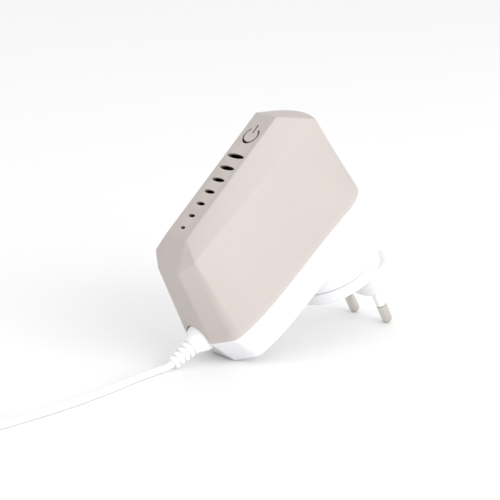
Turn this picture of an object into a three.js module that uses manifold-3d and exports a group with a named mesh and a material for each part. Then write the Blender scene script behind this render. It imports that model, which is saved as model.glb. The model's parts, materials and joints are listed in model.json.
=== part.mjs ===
// Plug-in AC/DC power adapter with a faceted front shell, a rear shell with a round turret, an
// interchangeable two-pin plug head, its inner electronics, and a thin DC lead with a barrel plug.
// Units are millimetres. The adapter leans as it lies on a table: it rests on the cable-end edge of
// its rear shell and on the two pin tips. Z is up, and the surface is z = 0.
import * as THREE from 'three';
import { ConvexGeometry } from 'three/addons/geometries/ConvexGeometry.js';
import { mergeVertices } from 'three/addons/utils/BufferGeometryUtils.js';
import Module from 'manifold-3d';

const wasm = await Module();
wasm.setup();

// ---------------------------------------------------------------- driving dimensions
// Body frame: x runs along the body from the cable end to the top end, y across its width, and z
// from the parting plane (z = 0) towards the front ridge.
const GAP = 0.3;                  // air left between neighbouring pieces
const WALL = 2;                   // shell wall
const CABLE_END = -68.2;          // x of the cable end at the parting plane
const TOP_END = 15.4;             // x of the top end at the parting plane
const HALF_WIDTH = 18.3;          // half the width, at the bow of the sides
const BACK_Z = -14.5;             // back face of the rear shell
const END_STRIP = 6.8;            // half width of the flat strip on the cable end
const MID_X = (CABLE_END + TOP_END) / 2;
const HALF_LENGTH = (TOP_END - CABLE_END) / 2;

// Corners of the front shell's facets, one side: the other side mirrors them in y.
const RIDGE_HALF = 5.6;
const RIDGE_TOP = [2.1, RIDGE_HALF, 44.3];
const RIDGE_CABLE = [-53.3, RIDGE_HALF, 37.4];
const SHOULDER_TOP = [11.9, 11.4, 35.4];
const SHOULDER_CABLE = [-57.5, 11.1, 32.2];
const STRIP_CORNER = [-63, 5.5, 30.1];
const TOP_EDGE_BOW = 2.6;         // how far the top end's upper edge bows out

// Vents: a row of seven slots along the ridge that shrink towards the cable end.
const VENT_COUNT = 7;
const VENT_FIRST_X = -17;
const VENT_PITCH = 5.33;
const VENT_LENGTH = [9, 2.5];     // largest and smallest, across the ridge
const VENT_WIDTH = [2, 1.3];
const EMBLEM_X = -7.5;            // centre of the cut-out power symbol above the vents
const EMBLEM_RADIUS = 3.7;
const EMBLEM_STROKE = 0.95;

// Plug head frame: origin on the head's rim plane, midway between the pins. X as the body's, Z away
// from the wall. The head is tilted against the body, and its disc sits nearer the cable end.
const HEAD_TILT = THREE.MathUtils.degToRad(7);
const HEAD_ORIGIN_Z = -28.5;
const DISC_X = -8.4;
const DISC_RADIUS = 19.1;
const SEAM_Z = 5.3;               // seam between the turret and the head
const FACE_Z = -10.3;             // the face that meets the wall socket
const PLUG_LENGTH = 35.3;         // outline of a flat two-pin plug
const PLUG_THICKNESS = 13.7;
const PIN_SPACING = 18.6;         // at the face; the pins close in by PIN_TOE each
const PIN_TOE = 0.35;
const PIN_RADIUS = 2;
const PIN_LENGTH = 19;
const SLEEVE_LENGTH = 10;
const CORE_RADIUS = 1.4;
const SEAT_DEPTH = 1.2;           // how deep each sleeve sits in the plug face
const TWIST = THREE.MathUtils.degToRad(30);

// Strain relief and lead.
const LEAD_DIAMETER = 2.6;
const RELIEF_X = -67.2;
const RELIEF_LENGTH = 15.6;
const RELIEF_RADIUS = 5.7;

// How the whole adapter leans on the table.
const REAR_EDGE = { x: -62.5, z: -12.5 };

// ---------------------------------------------------------------- materials
const material = (color, roughness, metalness = 0) =>
  new THREE.MeshStandardMaterial({ color, roughness, metalness });
const champagne = material(0xcfc3bb, 0.55);
const glossWhite = material(0xf6f6f7, 0.25);
const softWhite = material(0xf2f2f2, 0.5);
const sleeveWhite = material(0xe9e9ea, 0.35);
const nickel = material(0xc9c6c0, 0.22, 1);
const copper = material(0xb87348, 0.35, 1);
const ferrite = material(0x33343a, 0.7);
const tape = material(0xd9b640, 0.5);
const board = material(0x2e6b3e, 0.5);
const dark = material(0x141416, 0.6);
const steel = material(0xb6b9bd, 0.35, 1);
const blackPlastic = material(0x1b1b1d, 0.5);
const blueFilm = material(0x2a4f8f, 0.4);
const greyPlastic = material(0x8d9095, 0.5);
const red = material(0xb02a26, 0.45);

// ---------------------------------------------------------------- geometry helpers
function toManifold(geometry) {
  const bare = new THREE.BufferGeometry();
  bare.setAttribute('position', geometry.getAttribute('position').clone());
  if (geometry.index) bare.setIndex(geometry.index.clone());
  const merged = mergeVertices(bare, 1e-4);
  return new wasm.Manifold(new wasm.Mesh({
    numProp: 3,
    vertProperties: new Float32Array(merged.getAttribute('position').array),
    triVerts: new Uint32Array(merged.index.array),
  }));
}

function toGeometry(solid) {
  const mesh = solid.getMesh();
  const geometry = new THREE.BufferGeometry();
  geometry.setAttribute('position', new THREE.BufferAttribute(new Float32Array(mesh.vertProperties), 3));
  geometry.setIndex(new THREE.BufferAttribute(new Uint32Array(mesh.triVerts), 1));
  const flat = geometry.toNonIndexed();
  flat.computeVertexNormals();
  return flat;
}

// First solid plus the added ones, minus the cut ones.
function carve(base, { add = [], cut = [] }) {
  let solid = toManifold(base);
  for (const geometry of add) solid = solid.add(toManifold(geometry));
  for (const geometry of cut) solid = solid.subtract(toManifold(geometry));
  return toGeometry(solid);
}

const hull = (points) => new ConvexGeometry(points);
const vector = ([x, y, z]) => new THREE.Vector3(x, y, z);
const bothSides = (points) => points.flatMap(([x, y, z]) => [vector([x, y, z]), vector([x, -y, z])]);

function box(length, width, height, x = 0, y = 0, z = 0) {
  return new THREE.BoxGeometry(length, width, height).translate(x, y, z + height / 2);
}

// A cylinder that stands on z.
function post(radius, height, x = 0, y = 0, z = 0, sides = 32) {
  return new THREE.CylinderGeometry(radius, radius, height, sides)
    .rotateX(Math.PI / 2).translate(x, y, z + height / 2);
}

function extrude(shape, depth, z = 0, curveSegments = 8) {
  return new THREE.ExtrudeGeometry(shape, { depth, bevelEnabled: false, curveSegments }).translate(0, 0, z);
}

// A turned piece about z, from [radius, z] pairs that start and end on the axis, in either order.
function turned(profile, sides = 32) {
  const points = profile.map(([radius, z]) => new THREE.Vector2(radius, z));
  if (THREE.ShapeUtils.area(points) < 0) points.reverse();
  return new THREE.LatheGeometry(points, sides).rotateX(Math.PI / 2);
}

// A ring or tube about z, from [radius, z] pairs; the profile is closed here.
function ring(profile, sides = 32) {
  return turned([...profile, profile[0]], sides);
}

function oval(length, width) {
  return new THREE.Shape().absellipse(0, 0, width / 2, length / 2, 0, 2 * Math.PI);
}

function stadium(length, thickness) {
  const radius = thickness / 2;
  const straight = length / 2 - radius;
  const shape = new THREE.Shape();
  shape.moveTo(radius, -straight);
  shape.lineTo(radius, straight);
  shape.absarc(0, straight, radius, 0, Math.PI);
  shape.lineTo(-radius, -straight);
  shape.absarc(0, -straight, radius, Math.PI, 2 * Math.PI);
  return shape;
}

// A ring sector between two angles, as a flat shape.
function sector(inner, outer, from, to) {
  const shape = new THREE.Shape();
  shape.absarc(0, 0, outer, from, to, false);
  shape.absarc(0, 0, inner, to, from, true);
  return shape;
}

// A round bar along a path, with a many-sided section.
function bar(points, radius, sides, steps) {
  const section = new THREE.Shape();
  for (let i = 0; i < sides; i += 1) {
    const angle = (2 * Math.PI * (i + 0.5)) / sides;
    section[i ? 'lineTo' : 'moveTo'](radius * Math.cos(angle), radius * Math.sin(angle));
  }
  const path = new THREE.CatmullRomCurve3(points.map(vector), false, 'centripetal');
  return new THREE.ExtrudeGeometry(section, { steps, extrudePath: path, bevelEnabled: false });
}

// ---------------------------------------------------------------- body outline
// Half outline at the parting plane: flat strip, slanted corner, bowed side, round top end.
function halfOutline() {
  const path = new THREE.Path();
  path.moveTo(CABLE_END, 0);
  path.lineTo(CABLE_END, END_STRIP);
  path.lineTo(-63.9, 14.5);
  path.quadraticCurveTo(-62.6, 16.8, -58.5, 17.2);
  path.bezierCurveTo(-46, 20.3, -18, 15.9, 3.6, 16.1);
  path.bezierCurveTo(9.6, 15.6, 13, 12.6, 14.3, 8.4);
  path.quadraticCurveTo(TOP_END, 4, TOP_END, 0);
  return path.getPoints(6);
}

// The outline as a closed ring at height z, pulled in by separate amounts along x and y and at the
// cable end.
function outlineRing(z, insetX = 0, insetY = 0, cableExtra = 0) {
  const scaleX = (HALF_LENGTH - insetX) / HALF_LENGTH;
  const scaleY = (HALF_WIDTH - insetY) / HALF_WIDTH;
  return halfOutline().flatMap(({ x, y }) => {
    const towardsCable = (TOP_END - x) / (TOP_END - CABLE_END);
    const placed = MID_X + (x - MID_X) * scaleX + cableExtra * towardsCable;
    return [new THREE.Vector3(placed, y * scaleY, z), new THREE.Vector3(placed, -y * scaleY, z)];
  });
}

// ---------------------------------------------------------------- front shell
function facetPoints(inset = 0) {
  const centre = vector([MID_X, 0, 0]);
  const top = [];
  for (const part of [0, 0.4, 0.75]) {
    const y = SHOULDER_TOP[1] * part;
    top.push([SHOULDER_TOP[0] + TOP_EDGE_BOW * (1 - part * part), y, SHOULDER_TOP[2] - 0.9 * (1 - part)]);
  }
  const corners = [RIDGE_TOP, RIDGE_CABLE, SHOULDER_TOP, SHOULDER_CABLE, STRIP_CORNER, ...top];
  return bothSides(corners).map((point) => {
    const inward = centre.clone().sub(point);
    inward.z = -point.z * 1.2;
    return point.addScaledVector(inward.normalize(), inset * 1.35);
  });
}

const SCREEN_DEPTH = WALL * 1.75;
const RIDGE_SLOPE = Math.atan2(RIDGE_TOP[2] - RIDGE_CABLE[2], RIDGE_TOP[0] - RIDGE_CABLE[0]);

function ridgeHeight(x) {
  const part = (x - RIDGE_CABLE[0]) / (RIDGE_TOP[0] - RIDGE_CABLE[0]);
  return THREE.MathUtils.lerp(RIDGE_CABLE[2], RIDGE_TOP[2], part);
}

function ventSlots() {
  const slots = [];
  for (let i = 0; i < VENT_COUNT; i += 1) {
    const part = i / (VENT_COUNT - 1);
    const length = THREE.MathUtils.lerp(VENT_LENGTH[0], VENT_LENGTH[1], part);
    const width = THREE.MathUtils.lerp(VENT_WIDTH[0], VENT_WIDTH[1], part);
    const x = VENT_FIRST_X - i * VENT_PITCH;
    slots.push(extrude(oval(length, width), 8, -4, 6).translate(x, 0, ridgeHeight(x)));
  }
  return slots;
}

// A piece drawn flat, laid on the ridge face at x, sunk by depth.
function onRidge(geometry, x, depth) {
  return geometry.rotateY(-RIDGE_SLOPE).translate(x, 0, ridgeHeight(x) - depth / Math.cos(RIDGE_SLOPE));
}

function reliefHole() {
  return post(RELIEF_RADIUS + GAP, 12, 0, 0, -6).rotateY(Math.PI / 2)
    .rotateY(HEAD_TILT).translate(RELIEF_X, 0, 0);
}

// Generic power symbol cut through the ridge: a ring broken at the top by a short bar.
function symbolCuts() {
  const opening = 0.62;
  const ringShape = sector(EMBLEM_RADIUS - EMBLEM_STROKE, EMBLEM_RADIUS, opening, 2 * Math.PI - opening);
  const broken = extrude(ringShape, 8, -4, 12);
  const bar = box(EMBLEM_RADIUS - 0.2, EMBLEM_STROKE, 8, EMBLEM_RADIUS * 0.8, 0, -4);
  return [onRidge(broken, EMBLEM_X, 0), onRidge(bar, EMBLEM_X, 0)];
}

function frontShell() {
  const outer = hull([...outlineRing(GAP / 2), ...facetPoints()]);
  const inner = hull([...outlineRing(-1, WALL, WALL), ...facetPoints(WALL)]);
  return carve(outer, { cut: [inner, ...ventSlots(), ...symbolCuts(), reliefHole()] });
}

// Dark screen that backs the vents inside the shell.
function ventScreen() {
  const middle = VENT_FIRST_X - (VENT_PITCH * (VENT_COUNT - 1)) / 2;
  return onRidge(box(35, 9.8, 0.4), middle, SCREEN_DEPTH);
}

// Dark disc that backs the cut-out symbol.
function symbolBacking() {
  return onRidge(post(EMBLEM_RADIUS + 0.9, 0.5, 0, 0, 0, 40), EMBLEM_X, SCREEN_DEPTH);
}

// ---------------------------------------------------------------- rear shell and turret
const headMatrix = new THREE.Matrix4().makeRotationY(HEAD_TILT).setPosition(0, 0, HEAD_ORIGIN_Z);

// Takes a piece from the head's frame into the body's.
const fromHead = (geometry) => geometry.applyMatrix4(headMatrix);

function circlePoints(radius, x, z, sides = 48) {
  return Array.from({ length: sides }, (_, i) => {
    const angle = (2 * Math.PI * i) / sides;
    return new THREE.Vector3(x + radius * Math.cos(angle), radius * Math.sin(angle), z);
  });
}

function turret() {
  const column = [...circlePoints(DISC_RADIUS, DISC_X, SEAM_Z), ...circlePoints(DISC_RADIUS, DISC_X, 24)]
    .map((point) => point.applyMatrix4(headMatrix));
  const neck = circlePoints(1, 0, 0).map(({ x, y }) =>
    new THREE.Vector3(-4.6 + 17.2 * x, 16 * y, -GAP / 2));
  return hull([...column, ...neck]);
}

// Puts a piece drawn on z onto one pin's axis; the pins close in slightly towards their tips.
function onPin(geometry, side) {
  return geometry.translate(0, 0, -FACE_Z)
    .rotateX((-side * PIN_TOE) / PIN_LENGTH)
    .translate(0, (side * PIN_SPACING) / 2, FACE_Z);
}

const pinAngle = Math.atan2(PIN_SPACING / 2, -DISC_X);
const pinCircle = Math.hypot(PIN_SPACING / 2, DISC_X);
const LUG_ANGLE = Math.PI / 2;
const LUG_HALF = 0.35;

// Slots in the turret's end wall: a round hole, two notches for the lugs and two arcs for the pins.
function bayonetCuts() {
  const depth = 6;
  const shapes = [];
  for (const side of [1, -1]) {
    const lug = side * LUG_ANGLE - TWIST;
    const pin = side * pinAngle;
    shapes.push(sector(4, 8.6, lug - LUG_HALF - 0.06, lug + LUG_HALF + 0.06));
    shapes.push(sector(pinCircle - 1.9, pinCircle + 1.9, pin - TWIST - 0.16, pin + 0.16));
  }
  const cuts = shapes.map((shape) => extrude(shape, depth, SEAM_Z - 2));
  cuts.push(post(6.3, depth, 0, 0, SEAM_Z - 2));
  return cuts.map((geometry) => fromHead(geometry.translate(DISC_X, 0, 0)));
}

const BUTTON_X = -34.5;
const BUTTON_SIZE = [5.2, 8.4];

function rearShell() {
  const outer = hull([
    ...outlineRing(-GAP / 2),
    ...outlineRing(BACK_Z + 2, 1.2, 1.3, 2.5),
    ...outlineRing(BACK_Z + 0.4, 1.6, 1.9, 2.9),
    ...outlineRing(BACK_Z, 2.4, 3, 3.2),
  ]);
  const inner = hull([
    ...outlineRing(1, WALL, WALL),
    ...outlineRing(BACK_Z + WALL, WALL + 2, WALL + 2.6, 2.6),
  ]);
  const turretRoom = fromHead(post(DISC_RADIUS - WALL, 30, DISC_X, 0, SEAM_Z + WALL, 48));
  const aboveParting = box(200, 80, 40, 0, 0, 1);
  const shaft = extrude(stadium(BUTTON_SIZE[1] + 2 * GAP, BUTTON_SIZE[0] + 2 * GAP), 10, BACK_Z - 4)
    .translate(BUTTON_X, 0, 0);
  const room = carve(turretRoom, { cut: [aboveParting] });
  return carve(outer, { add: [turret()], cut: [inner, room, ...bayonetCuts(), shaft, reliefHole()] });
}

// Release button of the head: a stadium cap with a hidden flange.
function releaseButton() {
  const cap = extrude(stadium(BUTTON_SIZE[1], BUTTON_SIZE[0]), WALL + 1.3, BACK_Z - 0.9);
  const flange = extrude(stadium(BUTTON_SIZE[1] + 2.4, BUTTON_SIZE[0] + 2.4), 1, BACK_Z + WALL + GAP);
  return carve(cap, { add: [flange] }).translate(BUTTON_X, 0, 0);
}

// ---------------------------------------------------------------- plug head
function plugHead() {
  const disc = turned([
    [0, SEAM_Z - GAP], [DISC_RADIUS, SEAM_Z - GAP], [DISC_RADIUS, 1], [DISC_RADIUS - 0.3, 0.3],
    [DISC_RADIUS - 1, 0], [0, 0],
  ], 64).translate(DISC_X, 0, 0);
  const face = stadium(PLUG_LENGTH, PLUG_THICKNESS).getPoints(8);
  const body = hull(face.flatMap(({ x, y }) => [
    new THREE.Vector3(x, y, FACE_Z + 0.8),
    new THREE.Vector3(x * 0.93, y * 0.97, FACE_Z),
    new THREE.Vector3(x * 1.16, y * 1.03, 0.5),
  ]));
  const boss = post(6, 5, DISC_X, 0, SEAM_Z - GAP - 1);
  const lugs = [1, -1].map((side) => {
    const middle = side * LUG_ANGLE;
    return extrude(sector(5, 8.2, middle - LUG_HALF, middle + LUG_HALF), 1.2, SEAM_Z + WALL + GAP)
      .translate(DISC_X, 0, 0);
  });
  const boreLength = SEAM_Z - FACE_Z + 10;
  const bores = [1, -1].map((side) => onPin(post(CORE_RADIUS + GAP, boreLength, 0, 0, FACE_Z - 5, 20), side));
  const bossTop = post(6, 2.2, DISC_X, 0, SEAM_Z + WALL - 0.7);
  const seats = [1, -1].map((side) =>
    onPin(post(PIN_RADIUS + GAP, SEAT_DEPTH + 1, 0, 0, FACE_Z - 1, 24), side));
  return carve(disc, { add: [body, boss, bossTop, ...lugs], cut: [...bores, ...seats] });
}

// One pin: a thin core under the sleeve, a full tip, and an inner end that meets its contact.
function pin() {
  const shoulder = FACE_Z - SLEEVE_LENGTH;
  const tip = FACE_Z - PIN_LENGTH;
  return turned([
    [0, tip], [1.1, tip + 0.3], [1.75, tip + 1], [PIN_RADIUS, tip + 2.1],
    [PIN_RADIUS, shoulder - GAP], [CORE_RADIUS, shoulder - GAP], [CORE_RADIUS, SEAM_Z + 4.4],
    [0, SEAM_Z + 4.4],
  ], 24);
}

function pinSleeve() {
  const bottom = FACE_Z - SLEEVE_LENGTH;
  const top = FACE_Z + SEAT_DEPTH - GAP;
  return ring([
    [CORE_RADIUS + GAP, bottom], [PIN_RADIUS - 0.05, bottom], [PIN_RADIUS - 0.05, top],
    [CORE_RADIUS + GAP, top],
  ], 24);
}

// ---------------------------------------------------------------- inside
const BOARD_Z = -3;               // top face of the circuit board
const ON_BOARD = BOARD_Z + GAP;

function circuitBoard() {
  const shape = new THREE.Shape();
  shape.moveTo(-58, -11);
  shape.lineTo(-20, -13);
  shape.lineTo(5, -12);
  shape.lineTo(9.6, -7);
  shape.lineTo(9.6, 7);
  shape.lineTo(5, 12);
  shape.lineTo(-20, 13);
  shape.lineTo(-58, 11);
  return extrude(shape, 1.6, BOARD_Z - 1.6);
}

function transformerCore() {
  const windows = [1, -1].map((side) => box(5.2, 30, 13, side * 6.1, 0, 3.5));
  return carve(box(22, 12, 20), { cut: windows }).translate(-29, 0, ON_BOARD);
}

function transformerWinding() {
  const outer = box(16.6, 19, 12.4);
  const leg = box(7 + 2 * GAP, 12 + 2 * GAP, 20, 0, 0, -4);
  return carve(outer, { cut: [leg] }).translate(-29, 0, ON_BOARD + 3.8);
}

function electrolytic(radius, height) {
  return turned([
    [0, 0], [radius, 0], [radius, height * 0.14], [radius - 0.4, height * 0.17],
    [radius, height * 0.2], [radius, height - 0.6], [radius - 0.6, height], [0, height],
  ], 24);
}

function chokeRing() {
  const tube = new THREE.TorusGeometry(3.3, 1.6, 10, 20);
  return tube.rotateX(Math.PI / 2).translate(0, 0, 5);
}

function heatSink() {
  const shape = new THREE.Shape();
  shape.moveTo(0, -9);
  shape.lineTo(1.4, -9);
  for (let i = 0; i < 4; i += 1) {
    const y = -6.6 + i * 4.4;
    shape.lineTo(1.4, y - 0.6);
    shape.lineTo(4, y - 0.6);
    shape.lineTo(4, y + 0.6);
    shape.lineTo(1.4, y + 0.6);
  }
  shape.lineTo(1.4, 9);
  shape.lineTo(0, 9);
  return extrude(shape, 17);
}

function rectifierDiode() {
  const body = box(2.6, 9, 9, 0, 0, 5);
  const legs = [-2.5, 0, 2.5].map((y) => box(0.8, 0.9, 6, 0, y, 0));
  return carve(body, { add: legs });
}

function fuse() {
  return post(2.4, 9, 0, 0, -4.5, 20).rotateX(Math.PI / 2).translate(0, 0, 3);
}

// Spring strip from the board down to one pin's inner end, drawn as a bent section.
function contactSpring(side) {
  const pinTop = SEAM_Z + 4.4 + GAP;
  const boardBottom = 23.2;
  const shape = new THREE.Shape();
  const outline = [
    [3, pinTop], [3, pinTop + 0.6], [-3, pinTop + 0.6], [-3, boardBottom],
    [-3.6, boardBottom], [-3.6, pinTop + 0.5], [-3, pinTop],
  ];
  outline.forEach(([x, y], i) => (i ? shape.lineTo(x, y) : shape.moveTo(x, y)));
  return extrude(shape, 4, -2).rotateX(Math.PI / 2).translate(0, (side * PIN_SPACING) / 2, 0);
}

// Insulating block in the turret that holds both contact springs.
function contactCarrier() {
  const bottom = 13.4;
  const floor = SEAM_Z + WALL + GAP;
  const block = box(12.8, 24, 3, -7.6, 0, bottom);
  const slots = [1, -1].map((side) => box(0.6 + 2 * GAP, 4 + 2 * GAP, 6, -3.3, (side * PIN_SPACING) / 2, 12));
  const feet = [1, -1].map((side) => box(2.4, 2.4, bottom + 1 - floor, -12.6, side * 10.6, floor));
  return carve(block, { add: feet, cut: slots });
}

// ---------------------------------------------------------------- lead
function strainRelief() {
  const neck = 3.15;
  const tail = 2.35;
  const profile = [[0, 5], [3.4, 5], [3.4, 3.6], [RELIEF_RADIUS - 0.4, 3.6], [RELIEF_RADIUS, 3.0]];
  for (let i = 0; i <= 5; i += 1) {
    const part = i / 5;
    const flare = neck + (RELIEF_RADIUS - neck) * Math.cos((part * Math.PI) / 2) ** 1.3;
    profile.push([flare, 1.2 - part * 6.2]);
  }
  const ribs = 4;
  for (let i = 0; i < ribs; i += 1) {
    const top = -5.6 - i * 2.2;
    const radius = THREE.MathUtils.lerp(neck, tail, (i + 0.5) / ribs);
    profile.push([radius - 0.75, top], [radius - 0.75, top - 0.7], [radius, top - 0.75], [radius, top - 1.95]);
  }
  profile.push([tail - 0.2, 1.2 - RELIEF_LENGTH], [0, 1.2 - RELIEF_LENGTH]);
  return turned(profile, 28);
}

// Route of the free lead on the table, chosen by hand in the finished frame. It leaves the strain
// relief, settles on the surface and runs to the coil.
const LEAD_HEIGHT = LEAD_DIAMETER / 2 + 0.05;
const LEAD_ROUTE = [
  [-49.5, 0, 2.0], [-51, 0, 1.55], [-54.6, -0.1, LEAD_HEIGHT], [-59.5, -0.8, LEAD_HEIGHT],
  [-66, -1.9, LEAD_HEIGHT], [-73, -3.6, LEAD_HEIGHT], [-80, -5.2, LEAD_HEIGHT],
  [-87, -6.6, LEAD_HEIGHT], [-96, -7.9, LEAD_HEIGHT], [-106, -8.9, LEAD_HEIGHT],
  [-116, -9.5, LEAD_HEIGHT], [-124, -9.8, LEAD_HEIGHT], [-130.6, -9.9, LEAD_HEIGHT],
];
const TIE_ANGLE = 3.9;            // where the tie sits round the coil
const COIL = { x: -142, y: 9.6, inner: 9.1, outer: 20.8, height: 10.5 };
const PLUG_RADIUS = 5;
const PLUG_START = [-148.2, 36.2, PLUG_RADIUS + 0.05];
const TAIL_ROUTE = [
  [-161.5, 21.1, 8.4], [-161, 25.4, 7.1], [-159, 30.2, 5.9], [-155, 34.3, 5.3], [-151.2, 36, 5.08],
  [-148.5, 36.2, 5.05],
];

function leadCoil() {
  const { inner, outer, height } = COIL;
  const edge = 1.3;
  return ring([
    [inner, edge], [inner + edge, 0], [outer - edge, 0], [outer, edge],
    [outer, height - edge], [outer - edge, height], [inner + edge, height], [inner, height - edge],
  ], 40);
}

// Band that holds the coil's turns together, as a closed loop round the ring's section.
function cableTie() {
  const { inner, outer, height } = COIL;
  const middle = (inner + outer) / 2;
  const width = outer - inner;
  const band = box(width + 3, 3.2, height + 1.4, middle, 0, 0.02);
  const hollow = box(width + 1, 10, height + 0.4, middle, 0, -0.3);
  const head = box(3.4, 4.6, 4.4, outer + 3, 0, 2);
  return carve(band, { add: [head], cut: [hollow] }).rotateZ(TIE_ANGLE);
}

function plugGrip() {
  const profile = [[0, 0], [2.3, 0], [2.5, 3]];
  for (let i = 0; i < 3; i += 1) {
    profile.push([2.5 + i * 0.35, 3.4 + i * 2.2], [1.9 + i * 0.35, 3.5 + i * 2.2]);
    profile.push([2.0 + i * 0.35, 4.6 + i * 2.2], [2.8 + i * 0.35, 4.7 + i * 2.2]);
  }
  profile.push([4.4, 10.4], [PLUG_RADIUS, 12], [PLUG_RADIUS, 26], [4.6, 26.6], [0, 26.6]);
  return turned(profile, 28);
}

function plugBarrel() {
  return ring([[2.35, 26.9], [2.75, 26.9], [2.75, 35.9], [2.6, 36.1], [2.35, 36.1]], 24);
}

function plugInsulator() {
  return ring([[1.35, 26.9], [2.05, 26.9], [2.05, 36], [1.35, 36]], 20);
}

function plugContact() {
  return ring([[0.75, 26.9], [1.05, 26.9], [1.05, 35.2], [0.75, 35.2]], 16);
}

// ---------------------------------------------------------------- assembly
function part(name, geometry, finish, place = [0, 0, 0]) {
  const mesh = new THREE.Mesh(geometry, finish);
  mesh.name = name;
  mesh.position.set(...place);
  return mesh;
}

function headAssembly() {
  const group = new THREE.Group();
  group.add(part('plug_head', plugHead(), glossWhite));
  for (const [name, side] of [['near', -1], ['far', 1]]) {
    group.add(part(`pin_${name}`, onPin(pin(), side), nickel));
    group.add(part(`pin_sleeve_${name}`, onPin(pinSleeve(), side), sleeveWhite));
    group.add(part(`contact_spring_${name}`, contactSpring(side), copper));
  }
  group.add(part('contact_carrier', contactCarrier(), blackPlastic));
  group.rotation.y = HEAD_TILT;
  group.position.z = HEAD_ORIGIN_Z;
  return group;
}

function boardAssembly() {
  const group = new THREE.Group();
  group.add(part('circuit_board', circuitBoard(), board));
  group.add(part('transformer_core', transformerCore(), ferrite));
  group.add(part('transformer_winding', transformerWinding(), tape));
  for (const [name, y] of [['near', -5.7], ['far', 5.7]]) {
    group.add(part(`mains_capacitor_${name}`, electrolytic(5, 20), dark, [-10.4, y, ON_BOARD]));
    group.add(part(`output_capacitor_${name}`, electrolytic(4, 14), blueFilm, [-53.4, y * 0.82, ON_BOARD]));
  }
  group.add(part('suppression_capacitor', box(5.5, 13, 11), greyPlastic, [8.2, 0, ON_BOARD]));
  group.add(part('input_choke', chokeRing(), ferrite, [0, -6, ON_BOARD]));
  group.add(part('fuse', fuse(), red, [-0.4, 6.8, ON_BOARD]));
  group.add(part('heat_sink', heatSink(), steel, [-45.6, 0, ON_BOARD]));
  group.add(part('rectifier_diode', rectifierDiode(), blackPlastic, [-47.2, 0, ON_BOARD + 0.2]));
  group.add(part('optocoupler', box(4.6, 6.4, 3.2), blackPlastic, [-46, 0, BOARD_Z - 1.6 - GAP - 3.2]));
  return group;
}

function bodyAssembly() {
  const group = new THREE.Group();
  group.add(part('front_shell', frontShell(), champagne));
  group.add(part('vent_screen', ventScreen(), dark));
  group.add(part('symbol_backing', symbolBacking(), dark));
  group.add(part('rear_shell', rearShell(), glossWhite));
  group.add(part('release_button', releaseButton(), softWhite));
  group.add(boardAssembly());
  group.add(headAssembly());
  const relief = part('strain_relief', strainRelief(), softWhite, [RELIEF_X, 0, 0]);
  relief.rotation.y = Math.PI / 2 + HEAD_TILT;
  group.add(relief);
  return group;
}

// Leans the body until the rear edge and the pin tips touch the table, and centres it.
function standing(body) {
  const tip = new THREE.Vector3(0, 0, FACE_Z - PIN_LENGTH + PIN_RADIUS).applyMatrix4(headMatrix);
  const lean = Math.atan2(REAR_EDGE.z - tip.z, tip.x - REAR_EDGE.x);
  body.rotation.y = -lean;
  body.updateMatrixWorld(true);
  const bounds = new THREE.Box3();
  body.traverse((mesh) => {
    if (mesh.isMesh && mesh.name !== 'strain_relief') bounds.expandByObject(mesh, true);
  });
  const centre = bounds.getCenter(new THREE.Vector3());
  body.position.set(-centre.x, -centre.y, -bounds.min.z);
  return body;
}

function leadAssembly() {
  const group = new THREE.Group();
  const tailSteps = 8;
  group.add(part('lead', bar(LEAD_ROUTE, LEAD_DIAMETER / 2, 8, 16), softWhite));
  group.add(part('lead_coil', leadCoil(), softWhite, [COIL.x, COIL.y, 0.02]));
  group.add(part('lead_tail', bar(TAIL_ROUTE, LEAD_DIAMETER / 2, 8, tailSteps), softWhite));
  group.add(part('cable_tie', cableTie(), blackPlastic, [COIL.x, COIL.y, 0]));
  const plug = new THREE.Group();
  plug.add(part('dc_plug_grip', plugGrip(), softWhite));
  plug.add(part('dc_plug_barrel', plugBarrel(), nickel));
  plug.add(part('dc_plug_insulator', plugInsulator(), blackPlastic));
  plug.add(part('dc_plug_contact', plugContact(), nickel));
  plug.rotation.y = Math.PI / 2;
  plug.position.set(...PLUG_START);
  group.add(plug);
  return group;
}

const group = new THREE.Group();
group.name = 'power_adapter';
group.add(standing(bodyAssembly()));
group.add(leadAssembly());
export default group;
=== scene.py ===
import bisect
import json
import math

import bmesh
import bpy
from mathutils import Matrix, Vector


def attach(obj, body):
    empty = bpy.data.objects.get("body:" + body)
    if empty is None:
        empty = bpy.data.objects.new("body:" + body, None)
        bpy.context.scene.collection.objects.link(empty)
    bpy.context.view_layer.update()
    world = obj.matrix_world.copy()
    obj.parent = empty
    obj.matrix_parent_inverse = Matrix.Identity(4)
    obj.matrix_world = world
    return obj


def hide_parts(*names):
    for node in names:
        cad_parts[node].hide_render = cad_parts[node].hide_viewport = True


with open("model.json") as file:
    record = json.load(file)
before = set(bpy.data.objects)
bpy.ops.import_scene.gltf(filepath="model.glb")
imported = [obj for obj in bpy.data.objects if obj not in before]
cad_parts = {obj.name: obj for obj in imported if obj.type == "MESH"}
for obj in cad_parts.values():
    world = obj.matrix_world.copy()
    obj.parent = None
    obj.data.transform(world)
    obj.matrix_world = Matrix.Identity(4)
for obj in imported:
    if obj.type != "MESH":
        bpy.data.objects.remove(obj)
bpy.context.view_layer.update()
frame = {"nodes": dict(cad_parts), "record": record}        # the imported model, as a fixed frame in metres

MM = 0.001
SMOOTH_ANGLE = math.radians(32)

# ------------------------------------------------------------------ camera
CAMERA_AZIMUTH = math.radians(-40.2)
CAMERA_ELEVATION = math.radians(14.95)
CAMERA_ROLL = math.radians(0.2)
CAMERA_DISTANCE = 0.548
CAMERA_TARGET = Vector((-0.0073, 0.0071, 0.0351))
LENS_MM = 108
SENSOR_MM = 36


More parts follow.
